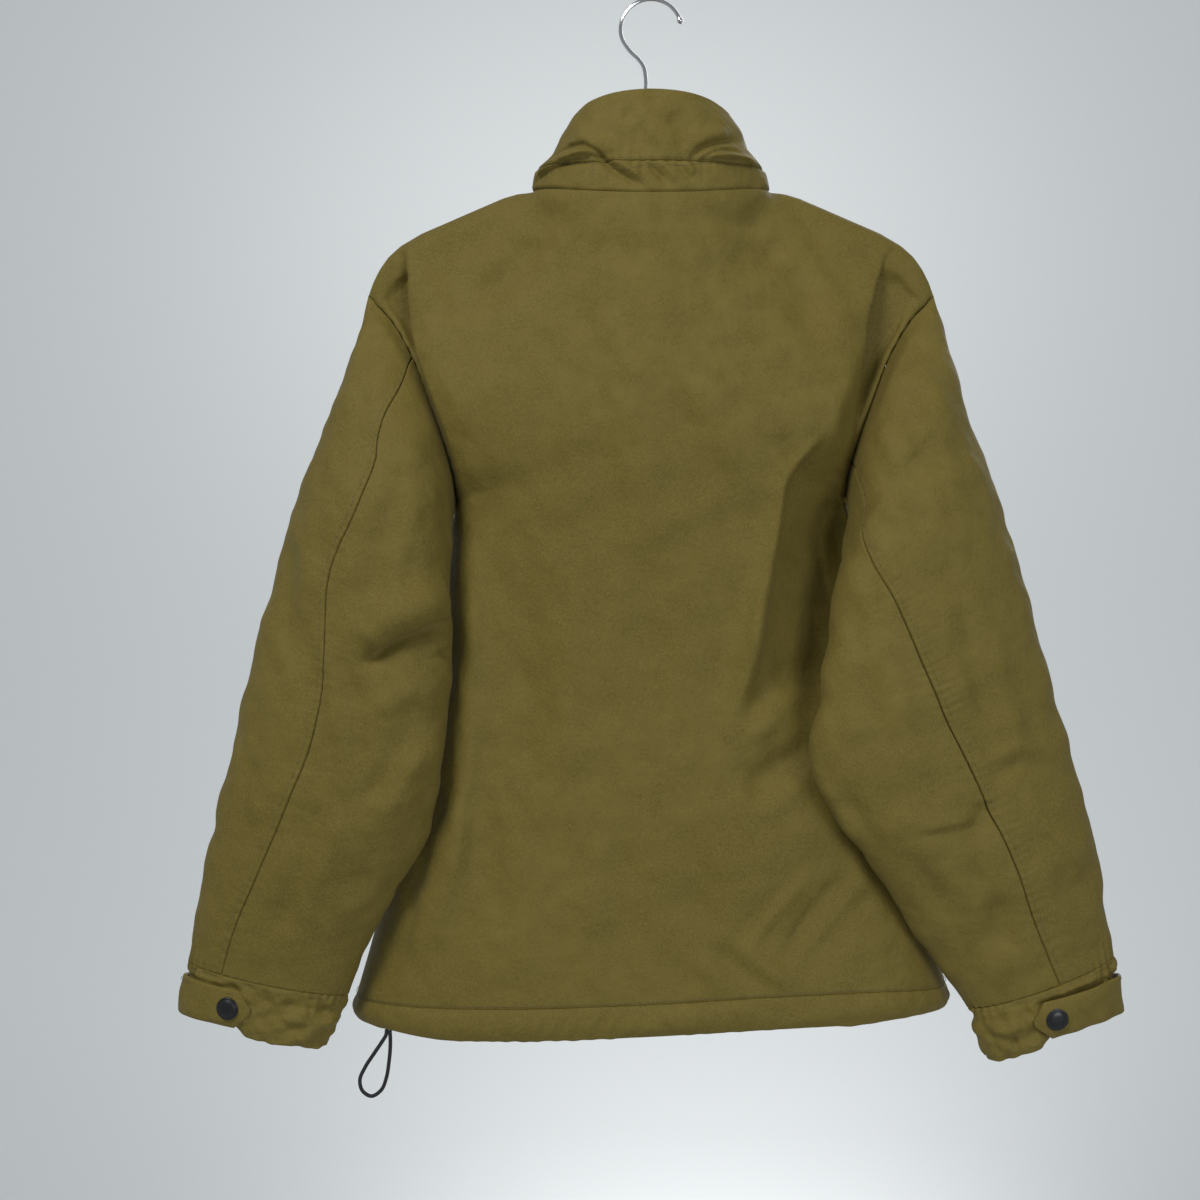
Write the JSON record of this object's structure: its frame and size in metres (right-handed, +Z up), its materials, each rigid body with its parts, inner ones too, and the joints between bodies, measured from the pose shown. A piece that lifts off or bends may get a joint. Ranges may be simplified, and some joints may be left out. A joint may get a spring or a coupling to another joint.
{
  "type": "fleece-lined jacket on a wire-hook hanger",
  "caption": "Long-sleeved zip jacket with a tall funnel collar, strapped cuffs and a drawcord hem, hanging open at neck, hem and cuffs on a hanger with a wire hook.",
  "frame": {"origin": "inside top of the hanger's wire hook, where a rail carries it", "axes": "+Z up; the jacket's front faces -Y and its back +Y, so the wearer's left is +X"},
  "size_m": [0.7352, 0.1873, 0.8718],
  "materials": {
    "shell": "smooth dense olive weave with a faint sheen, pale pile inside",
    "snap": "satin black",
    "cord": "braided black elastic",
    "hanger": "plain dark satin",
    "wire": "bright plated",
    "zip_tape": "woven tape",
    "zip_metal": "darkened, antique"
  },
  "bodies": {
    "jacket": {"back": "shell", "collar": "shell", "collar_stand": "shell", "cuff_left": "shell", "cuff_right": "shell", "cuff_snap_left": "snap", "cuff_snap_right": "snap", "cuff_tab_left": "shell", "cuff_tab_right": "shell", "drawcord": "cord", "front_left": "shell", "front_right": "shell", "hanger_bar": "hanger", "hanger_hook": "wire", "hem_band": "shell", "sleeve_left_under": "shell", "sleeve_left_upper": "shell", "sleeve_right_under": "shell", "sleeve_right_upper": "shell", "zip_chain": "zip_metal", "zip_slider": "zip_metal", "zip_tape_left": "zip_tape", "zip_tape_right": "zip_tape"},
    "zip_pull": {"zip_pull": "zip_metal"}
  },
  "joints": [
    {"name": "zip_pull_swing", "type": "hinge", "parent": "jacket", "child": "zip_pull", "pos_m": [0, -0.0927, -0.15787], "axis": [-1, 0, 0], "range_deg": [0, 150]}
  ]
}
